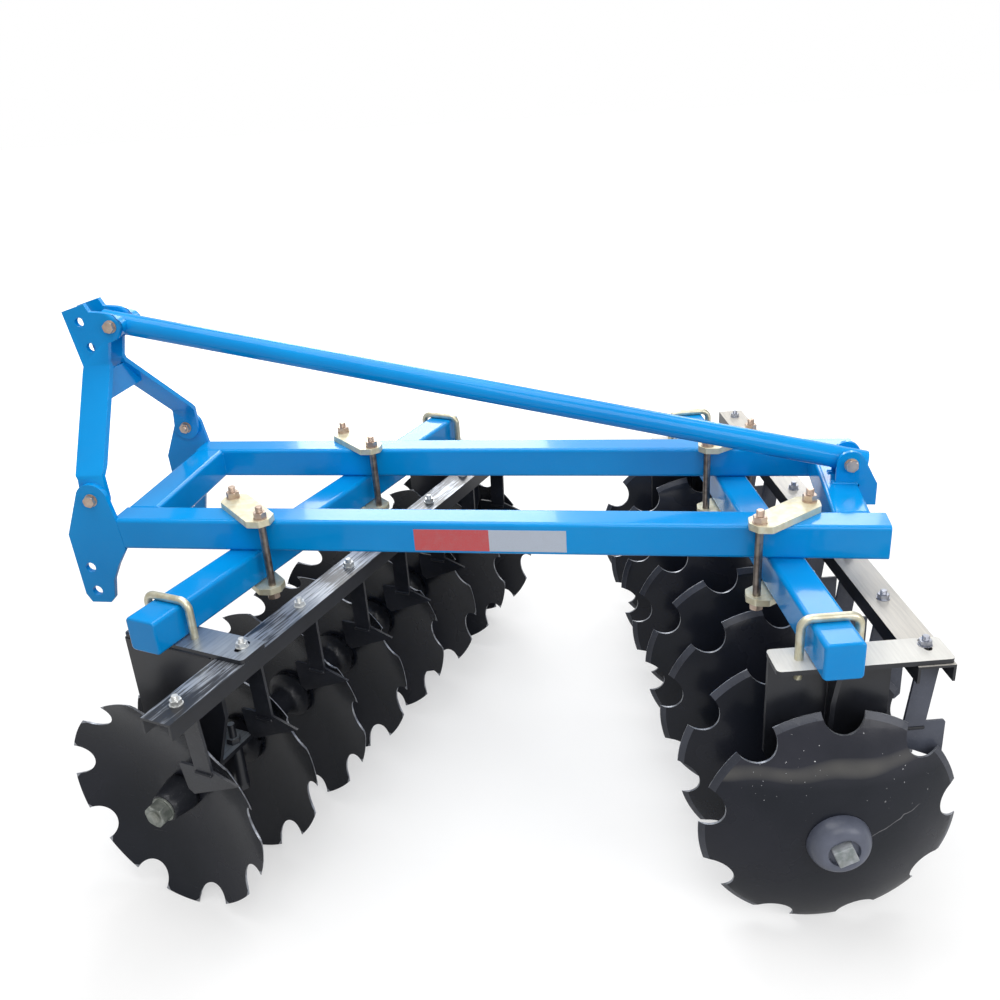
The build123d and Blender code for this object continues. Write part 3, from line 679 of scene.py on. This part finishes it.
def makeBracePipe():
    # the pipe from the mast's head to the rear lugs, open at both ends
    look = {"past": 0.044, "radius": 0.03015, "wall": 0.005, "rim": 0.0008, "sides": 72}
    front = spot(machine["braceBolt"][0], 0, machine["braceBolt"][1])
    rear = spot(machine["braceFoot"][0], 0, machine["braceFoot"][1])
    run = front - rear
    bpy.ops.mesh.primitive_cylinder_add(vertices=look["sides"], radius=look["radius"],
                                        depth=run.length + 2 * look["past"], end_fill_type="NOTHING",
                                        location=(0, 0, 0))
    pipe = bpy.context.object
    pipe.name = "brace_pipe_finished"
    wall = pipe.modifiers.new("wall", "SOLIDIFY")
    wall.thickness = look["wall"]
    wall.offset = -1
    easeEdges(pipe, look["rim"], 2)
    pipe.data.transform(alignedTo((front + rear) / 2, run))
    finished(pipe, bluePaint, "frame", 30)
    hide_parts("brace_pipe")


makeBracePipe()
print("CAD nodes finished")


def makeNut(name, width, height):
    # a hexagon whose corners are cut back by a bevelled disc, a little wider than the corners
    look = {"turned": 1.001, "chamfer": 0.09, "sides": 48}
    bpy.ops.mesh.primitive_cylinder_add(vertices=6, radius=width / sqrt(3), depth=height,
                                        location=(0, 0, height / 2))
    nut = bpy.context.object
    nut.name = name
    bpy.ops.mesh.primitive_cylinder_add(vertices=look["sides"], radius=width / sqrt(3) * look["turned"],
                                        depth=height, location=(0, 0, height / 2))
    turning = bpy.context.object
    easeEdges(turning, width * look["chamfer"], 3)
    crop = nut.modifiers.new("crop", "BOOLEAN")
    crop.operation = "INTERSECT"
    crop.object = turning
    applyModifiers(nut)
    bpy.data.objects.remove(turning)
    return settle(nut)


def makeWasher(name, radius, thickness, bore):
    # a ring with eased rims, spun from a circle
    bpy.ops.mesh.primitive_circle_add(vertices=40, radius=radius, fill_type="NOTHING", location=(0, 0, 0))
    washer = bpy.context.object
    washer.name = name
    editMode("EDGE")
    selectAll()
    bpy.ops.mesh.extrude_region_move()
    bpy.ops.transform.resize(value=(bore / radius, bore / radius, 1))
    selectAll()
    bpy.ops.mesh.extrude_region_move(TRANSFORM_OT_translate={"value": (0, 0, thickness)})
    facesOut()
    easeEdges(washer, thickness * 0.2, 2)
    return settle(washer)


def makeThread(name, radius, length, pitch):
    # a bolt's end: one ridge of the thread, repeated, with a crowned tip
    root, tip = 0.90, 0.84  # shares of the radius
    bpy.ops.mesh.primitive_cylinder_add(vertices=20, radius=radius, depth=pitch / 2, end_fill_type="NOTHING",
                                        location=(0, 0, pitch / 4))
    thread = settle(bpy.context.object)
    thread.name = name
    selectRing(thread, lambda point: point.z > pitch / 4)
    editMode("VERT")
    bpy.ops.transform.resize(value=(root, root, 1), center_override=(0, 0, 0))
    pullRing(pitch / 2, 1 / root)
    objectMode()
    count = max(1, int(round(length / pitch)) - 1)
    repeatUp(thread, pitch, count, pitch / 20)
    selectRing(thread, lambda point: point.z > (count - 0.1) * pitch)
    editMode("VERT")
    pullRing(pitch * 0.8, tip)
    bpy.ops.mesh.edge_face_add()
    objectMode()
    closeFoot(thread, pitch / 10)
    return settle(thread)


def turned(angle):
    return Matrix.Rotation(angle, 4, "Z")


def makeSet(look):
    # a washer, a nut and a bolt's end, to be copied
    return (makeWasher("washer", look["washerRadius"], look["washer"], look["bore"]),
            makeNut("nut", look["nutWidth"], look["nutHeight"]),
            makeThread("thread", look["thread"], look["tail"], look["pitch"]))


def bolted(templates, look, seat, turn, flat=1.0, tailed=True):
    # the three on a seat, the nut turned and perhaps flattened; a bolt's head has no end to show
    washer, nut, tail = templates
    pieces = [placed(washer, seat),
              placed(nut, seat @ shift(look["washer"]) @ turned(turn) @ Matrix.Diagonal((1, 1, flat, 1)))]
    if tailed:
        pieces.append(placed(tail, seat @ shift(look["tailAt"])))
    return pieces


def makeClampFasteners():
    look = {"spacing": 184.0, "plate": 18.0, "washerRadius": 0.0185, "washer": 0.003, "bore": 0.009,
            "nutWidth": 0.031, "nutHeight": 0.018, "thread": 0.010, "pitch": 0.002, "tail": 0.015,
            "tailAt": 0.018, "flat": 0.86, "upperTurn": 0.4, "lowerTurn": 0.2}
    templates = makeSet(look)
    for gang, size in gangs.items():
        for side, sign in (("left", 1), ("right", -1)):
            pieces = []
            y = sign * machine["sideTube"]
            x = size["crossX"] + y * sin(size["angle"]) / cos(size["angle"])
            clampPlace = Matrix.Translation(spot(x, y, 0)) @ turned(size["turn"])
            seat = (machine["frameTop"] + look["plate"]) / 1000
            under = (machine["plateTop"] - look["plate"]) / 1000
            for end in (-1, 1):
                stud = clampPlace @ Matrix.Translation((end * look["spacing"] / 2000, 0, 0))
                pieces += bolted(templates, look, stud @ shift(seat), look["upperTurn"] + end, look["flat"])
                pieces.append(placed(templates[1], stud @ shift(under - look["nutHeight"])
                                     @ turned(look["lowerTurn"] - end)))
            group = joined(pieces, gang + "_" + side + "_clamp_nuts")
            finished(group, nutZinc, "frame", 30)
    dropTemplates(*templates)


def makeUBoltFasteners():
    look = {"leg": 65.0, "nutWidth": 0.030, "nutHeight": 0.016, "thread": 0.0096, "pitch": 0.002,
            "tail": 0.023, "turn": 0.3}
    nut = makeNut("u_bolt_nut", look["nutWidth"], look["nutHeight"])
    tail = makeThread("u_bolt_thread", look["thread"], look["tail"], look["pitch"])
    turnOver = Matrix.Rotation(pi, 4, "X")
    for gang, size in gangs.items():
        for side, hanger in zip(("left", "right"), size["hangers"]):
            pieces = []
            for end in (-1, 1):
                leg = gangMatrix(gang, end * look["leg"], hanger, machine["beamTop"]) @ turnOver
                pieces.append(placed(nut, leg @ turned(look["turn"] * end)))
                pieces.append(placed(tail, leg @ shift(look["nutHeight"])))
            group = joined(pieces, gang + "_" + side + "_u_bolt_nuts")
            finished(group, rodZinc, "frame", 30)
    dropTemplates(nut, tail)


def makeScraperFasteners():
    look = {"washerRadius": 0.016, "washer": 0.0025, "bore": 0.0072, "nutWidth": 0.025, "nutHeight": 0.013,
            "thread": 0.008, "pitch": 0.0018, "tail": 0.011, "tailAt": 0.013, "flat": 0.84, "turn": 0.35,
            "hangerHalf": 46.0}
    templates = makeSet(look)
    for gang, size in gangs.items():
        pieces = []
        for number in range(machine["discsPerGang"]):
            place = size["firstHub"] - machine["discSpacing"] * number + size["bolt"]
            covered = min(abs(place - hanger) for hanger in size["hangers"]) < look["hangerHalf"]
            seat = machine["plateTop"] if covered else machine["beamTop"]
            bolt = gangMatrix(gang, size["beam"], place, seat)
            pieces += bolted(templates, look, bolt, look["turn"] * number, look["flat"])
        group = joined(pieces, gang + "_scraper_nuts")
        finished(group, boltZinc[gang], "frame", 30)
    dropTemplates(*templates)


def makeAxleNuts():
    look = {"washerRadius": 0.034, "washer": 0.006, "bore": 0.010, "nutWidth": 0.057, "nutHeight": 0.030,
            "thread": 0.018, "pitch": 0.003, "tail": 0.008, "tailAt": 0.036, "turn": 0.3}
    templates = makeSet(look)
    for gang, size in gangs.items():
        outward = Matrix.Rotation(-size["hollow"] * pi / 2, 4, "X")
        along = endHub(gang, "nut") + size["hollow"] * machine["bossEnd"]
        end = gangMatrix(gang, size["axleAhead"], along, machine["axleHeight"]) @ outward
        group = joined(bolted(templates, look, end, look["turn"]), gang + "_axle_nut")
        finished(group, axleSteel, gang + "_gang", 30)
    dropTemplates(*templates)


def makeBellWashers():
    # a domed washer with a sunken mouth, and the axle's square forged head in it
    look = {"outer": 0.074, "mouth": 0.037, "height": 0.045, "steps": 12, "fullness": 0.8, "lip": 0.0028,
            "crown": 0.0002, "drop": 0.0012, "draft": 0.0008, "sink": 0.010, "floor": 0.006, "seat": 0.2,
            "head": 0.047, "headEnd": 0.0575, "turn": radians(24), "headRound": 0.0032}
    bpy.ops.mesh.primitive_circle_add(vertices=72, radius=look["outer"], fill_type="NOTHING",
                                      location=(0, 0, 0))
    dome = bpy.context.object
    dome.name = "bell_washer"
    editMode("EDGE")
    selectAll()
    rise = look["outer"] - look["mouth"]
    radius = look["outer"]
    height = 0.0
    steps = [step / look["steps"] * pi / 2 for step in range(1, look["steps"])]
    profile = [(look["mouth"] + rise * cos(step) ** look["fullness"], look["height"] * sin(step))
               for step in steps]
    profile += [(look["mouth"] + look["lip"], look["height"] + look["crown"]),
                (look["mouth"], look["height"] - look["drop"]),
                (look["mouth"] - look["draft"], look["height"] - look["sink"]),
                (look["floor"], look["height"] - look["sink"])]
    for nextRadius, nextHeight in profile:
        pullRing(nextHeight - height, nextRadius / radius)
        radius, height = nextRadius, nextHeight
    bpy.ops.mesh.edge_face_add()
    objectMode()
    closeFoot(dome, 0.00001)
    dome.data.materials.append(domePaint)
    bpy.ops.mesh.primitive_cube_add(size=1, location=(0, 0, look["headEnd"] / 2),
                                    scale=(look["head"], look["head"], look["headEnd"]))
    head = settle(bpy.context.object)
    easeEdges(head, look["headRound"], 3)
    head.data.materials.append(forgedSteel)
    head.data.transform(turned(look["turn"]))
    for gang, size in gangs.items():
        outward = Matrix.Rotation(size["hollow"] * pi / 2, 4, "X")
        along = endHub(gang, "bell") - size["hollow"] * look["seat"]
        end = gangMatrix(gang, size["axleAhead"], along, machine["axleHeight"]) @ outward
        group = joined([placed(dome, end), placed(head, end)], gang + "_bell_washer")
        finished(group, None, gang + "_gang", 35)
    dropTemplates(dome, head)


def makeCrossBolts():
    # heads and nuts on the bolts through the mast and the brace, seated where the CAD's are
    look = {"head": 0.015, "lap": 0.0004, "washerRadius": 0.018, "washer": 0.003, "bore": 0.006,
            "nutWidth": 0.029, "nutHeight": 0.013, "thread": 0.009, "pitch": 0.002, "tail": 0.006,
            "tailAt": 0.016, "turn": 0.25,
            "ends": {"left_mast_bolt": -1, "right_mast_bolt": 1, "brace_front_bolt": -1, "brace_rear_bolt": -1}}
    templates = makeSet(look)
    for name, tailSide in look["ends"].items():
        points = [vertex.co for vertex in nodes[name].data.vertices]
        low = Vector([min(point[axis] for point in points) for axis in range(3)])
        high = Vector([max(point[axis] for point in points) for axis in range(3)])
        middle = (low + high) / 2
        reach = (high.y - low.y) / 2 - look["head"]
        eased(name, nutZinc, 0.0, 35,
              lambda point, normal: abs(point.y - middle.y) > reach - look["lap"], False)
        pieces = []
        for side in (-1, 1):
            outward = Matrix.Rotation(-side * pi / 2, 4, "X")
            seat = Matrix.Translation((middle.x, middle.y + side * reach, middle.z)) @ outward
            pieces += bolted(templates, look, seat, look["turn"], 1.0, side == tailSide)
        finished(joined(pieces, name + "_ends"), nutZinc, "frame", 30)
    dropTemplates(*templates)


makeBellWashers()
makeCrossBolts()
makeClampFasteners()
makeUBoltFasteners()
makeScraperFasteners()
makeAxleNuts()
print("fasteners made")


def makeStripPlate():
    middle = spot((stripLook["rear"] + stripLook["front"]) / 2, stripLook["side"] + stripLook["thickness"] / 2,
                  stripLook["height"])
    size = Vector((stripLook["front"] - stripLook["rear"], stripLook["thickness"], stripLook["width"])) / 1000
    bpy.ops.mesh.primitive_cube_add(size=1, location=middle, scale=size)
    strip = settle(bpy.context.object)
    strip.name = "reflective_strip"
    editMode()
    selectAll()
    bpy.ops.mesh.bevel(offset=stripLook["rim"], segments=1)
    objectMode()
    finished(strip, stripPaint, "frame", 30)


makeStripPlate()
print("strip made")


beadTemplates = {}
ripple = {"valley": 0.94, "crest": 1.14, "climb": 0.45, "fall": 0.55, "cap": 0.3, "taper": 0.5, "uneven": 0.10,
          "length": 1.15}


def makeBead(count):
    # a run of weld ripples, one unit in radius and count units long, along Z
    if count in beadTemplates:
        return beadTemplates[count]
    bpy.ops.mesh.primitive_circle_add(vertices=10, radius=ripple["valley"], fill_type="NOTHING",
                                      location=(0, 0, 0))
    bead = bpy.context.object
    bead.name = "bead"
    editMode("VERT")
    selectAll()
    pullRing(ripple["climb"], ripple["crest"])
    pullRing(ripple["fall"], 1 / ripple["crest"])
    objectMode()
    repeatUp(bead, 1.0, count, 0.02)
    for way, test in ((-1, lambda point: point.z < 0.01), (1, lambda point: point.z > count - 0.01)):
        selectRing(bead, test)
        editMode("VERT")
        pullRing(way * ripple["cap"], ripple["taper"])
        bpy.ops.mesh.edge_face_add()
        objectMode()
    editMode("VERT")
    selectAll()
    bpy.ops.transform.vertex_random(offset=ripple["uneven"], seed=count)
    facesOut()
    settle(bead)
    beadTemplates[count] = bead
    return bead


def weld(start, end, radius):
    # one bead between two points in metres
    run = end - start
    count = max(2, int(run.length / (radius * ripple["length"])))
    stretch = Matrix.Diagonal((radius, radius, run.length / count, 1))
    return placed(makeBead(count), alignedTo(start, run) @ stretch)


def gangWeld(gang, start, end, radius):
    # the same between two places given ahead of the gang tube, along it and up
    return weld(gangMatrix(gang, *start).translation, gangMatrix(gang, *end).translation, radius)


def makeFrameWelds():
    # the cross tubes inside the side tubes, the hitch plates' front and foot, and the brace lugs' foot and
    # back: how far out, and the ends as (x, z)
    look = {"radius": 0.0048, "tubes": (935.0, -948.0), "inner": 217.0, "top": 911.5, "foot": 828.5,
            "half": 37.0, "side": 43.0, "sideLow": 836.0, "sideHigh": 904.0, "hitchOut": 288.5,
            "hitch": (((980.5, 830.0), (980.5, 911.0)), ((966.0, 824.5), (979.0, 824.5))),
            "lugOut": (31.0, 43.0), "lugRadius": 0.0042,
            "lug": (((-990.0, 915.5), (-926.0, 915.5)), ((-993.5, 858.0), (-993.5, 902.0)))}
    beads = []

    def run(y, start, end, radius):
        beads.append(weld(spot(start[0], y, start[1]), spot(end[0], y, end[1]), radius))

    for sign in (1, -1):
        y = sign * look["inner"]
        for x in look["tubes"]:
            for z in (look["top"], look["foot"]):
                run(y, (x - look["half"], z), (x + look["half"], z), look["radius"])
            for edge in (x - look["side"], x + look["side"]):
                run(y, (edge, look["sideLow"]), (edge, look["sideHigh"]), look["radius"])
        for start, end in look["hitch"]:
            run(sign * look["hitchOut"], start, end, look["radius"])
        for out in look["lugOut"]:
            for start, end in look["lug"]:
                run(sign * out, start, end, look["lugRadius"])
    finished(joined(beads, "frame_welds"), bluePaint, "frame", 60)


def makeHangerWelds():
    look = {"radius": 0.0042, "ribRadius": 0.0036, "plate": 12.0, "under": 722.0, "foot": 399.0, "rear": -148.0,
            "front": 120.0, "half": 104.0, "ribFoot": 412.0, "ribTop": 712.0}
    for gang, size in gangs.items():
        for side, hanger in zip(("left", "right"), size["hangers"]):
            beads = []
            plateAt = hanger + size["upright"]
            inner = plateAt - size["hollow"] * look["plate"] / 2
            for face in (-1, 1):
                t = plateAt + face * look["plate"] / 2
                n = size["axleAhead"] + face * look["plate"] / 2
                rear, front = size["axleAhead"] - look["half"], size["axleAhead"] + look["half"]
                beads += [gangWeld(gang, (look["rear"], t, look["under"]), (look["front"], t, look["under"]),
                                   look["radius"]),
                          gangWeld(gang, (rear, t, look["foot"]), (front, t, look["foot"]), look["radius"]),
                          gangWeld(gang, (n, inner, look["ribFoot"]), (n, inner, look["ribTop"]),
                                   look["ribRadius"])]
            group = joined(beads, gang + "_" + side + "_hanger_welds")
            finished(group, castPaint, "frame", 60)


def makeScraperWelds():
    # a bar leans from its foot under the beam to its blade, which stands off the disc's hub
    look = {"radius": 0.0046, "upperRadius": 0.004, "foot": 25.0, "standOff": 89.5, "below": 51.0, "drift": 18.0,
            "neck": 691.0, "lap": 15.0, "half": 24.0, "bladeOut": 3.4, "upper": 709.5, "upperHalf": 23.0,
            "barOut": 4.0}
    for gang, size in gangs.items():
        beads = []
        lean = atan2(abs(size["bolt"]) - look["foot"] - look["standOff"], size["drop"] + look["below"])
        bladeTop = machine["beamTop"] - size["drop"]
        n = size["beam"] + look["drift"]
        z = bladeTop - look["lap"]
        rear, front = size["beam"] - look["upperHalf"], size["beam"] + look["upperHalf"]
        for number in range(machine["discsPerGang"]):
            bolt = size["firstHub"] - machine["discSpacing"] * number + size["bolt"]
            bar = bolt - size["hollow"] * look["foot"]
            foot = bar - size["hollow"] * (look["neck"] - bladeTop) * sin(lean) / cos(lean)
            for face in (-1, 1):
                t = foot + face * look["bladeOut"]
                beads.append(gangWeld(gang, (n - look["half"], t, z), (n + look["half"], t, z), look["radius"]))
                t = bar + face * look["barOut"]
                beads.append(gangWeld(gang, (rear, t, look["upper"]), (front, t, look["upper"]),
                                      look["upperRadius"]))
        finished(joined(beads, gang + "_scraper_welds"), castPaint, "frame", 60)


makeFrameWelds()
makeHangerWelds()
makeScraperWelds()
dropTemplates(*beadTemplates.values())
print("welds made")


def makeStage():
    look = {"size": 80.0, "fadeStart": 1.7, "fadeEnd": 4.0, "lift": 0.48, "farLift": 0.6, "glossy": 0.25,
            "aim": Vector((0, 0, 0.6))}
    bpy.ops.mesh.primitive_plane_add(size=look["size"], location=(0, 0, 0))
    floor = bpy.context.object
    floor.name = "floor"
    paper = Paint("floor_paper", {"Roughness": 0.9, "Emission Strength": 1.0})
    distance = paper.node("ShaderNodeVectorMath", {"operation": "LENGTH"}, [paper.place], "Value")
    far = paper.node("ShaderNodeMapRange", {"interpolation_type": "SMOOTHSTEP"},
                     {"Value": distance, "From Min": look["fadeStart"], "From Max": look["fadeEnd"]})
    seen = paper.ray("Camera") + paper.ray("Transmission")
    lift = (seen + paper.ray("Glossy") * look["glossy"]) * (look["lift"] + far * look["farLift"])
    mottle = paper.ramp(paper.noise(3.0, 4.0), (0.3, 0.50), (0.7, 0.53))
    paper.feed({"Base Color": mottle, "Emission Color": paper.blendColour(lift, (0, 0, 0), (1, 1, 1))})
    floor.data.materials.append(paper.material)

    world = bpy.data.worlds.new("studio")
    bpy.context.scene.world = world
    world.use_nodes = True
    sky = Nodes(world.node_tree)
    soft, shine = 0.42, 0.5  # what the world gives as soft light, and what gloss shows of it
    strength = (soft + (sky.ray("Camera") + sky.ray("Transmission")) * (1.0 - soft)
                + sky.ray("Glossy") * (shine - soft))
    background = sky.tree.nodes["Background"]
    background.inputs["Color"].default_value = (1.0, 1.0, 1.0, 1.0)
    sky.tree.links.new(strength.socket, background.inputs["Strength"])

    # each lamp's name, place, width, height and power; all of them look at the machine's middle
    lamps = [("key", (-1.3, 4.3, 4.2), 3.0, 3.0, 80.0), ("top", (0.3, -0.2, 4.8), 4.6, 3.6, 160.0),
             ("mirror", (2.2, -7.5, 4.6), 2.9, 3.4, 150.0), ("mirror_right", (-2.2, -7.5, 4.6), 1.1, 3.4, 52.0),
             ("back", (-0.2, -7.9, 5.2), 9.0, 6.0, 120.0), ("fill", (-4.4, 3.0, 2.4), 2.6, 2.6, 75.0)]
    for name, place, width, height, power in lamps:
        light = bpy.data.lights.new(name, "AREA")
        light.shape = "RECTANGLE"
        light.size = width
        light.size_y = height
        light.energy = power
        lamp = bpy.data.objects.new(name, light)
        lamp.location = place
        lamp.rotation_euler = (look["aim"] - Vector(place)).to_track_quat("-Z", "Y").to_euler()
        lamp.visible_camera = False
        bpy.context.scene.collection.objects.link(lamp)


def makeCamera():
    look = {"place": spot(-496.9, 2513.8, 1963.7), "yaw": radians(10.49), "pitch": radians(23.66),
            "roll": radians(3.93), "lens": 35.36}
    ahead = Vector((cos(look["pitch"]) * sin(look["yaw"]), -cos(look["pitch"]) * cos(look["yaw"]),
                    -sin(look["pitch"])))
    right = ahead.cross(Vector((0, 0, 1))).normalized()
    down = ahead.cross(right)
    across = cos(look["roll"]) * right + sin(look["roll"]) * down
    under = -sin(look["roll"]) * right + cos(look["roll"]) * down
    camera = bpy.data.objects.new("camera", bpy.data.cameras.new("camera"))
    camera.data.lens = look["lens"]
    camera.data.sensor_width = 36.0
    turn = Matrix((across, -under, -ahead)).transposed().to_4x4()
    camera.matrix_world = Matrix.Translation(look["place"]) @ turn
    bpy.context.scene.collection.objects.link(camera)
    bpy.context.scene.camera = camera


makeStage()
makeCamera()
bpy.context.scene.view_settings.view_transform = "Standard"
print("stage set")
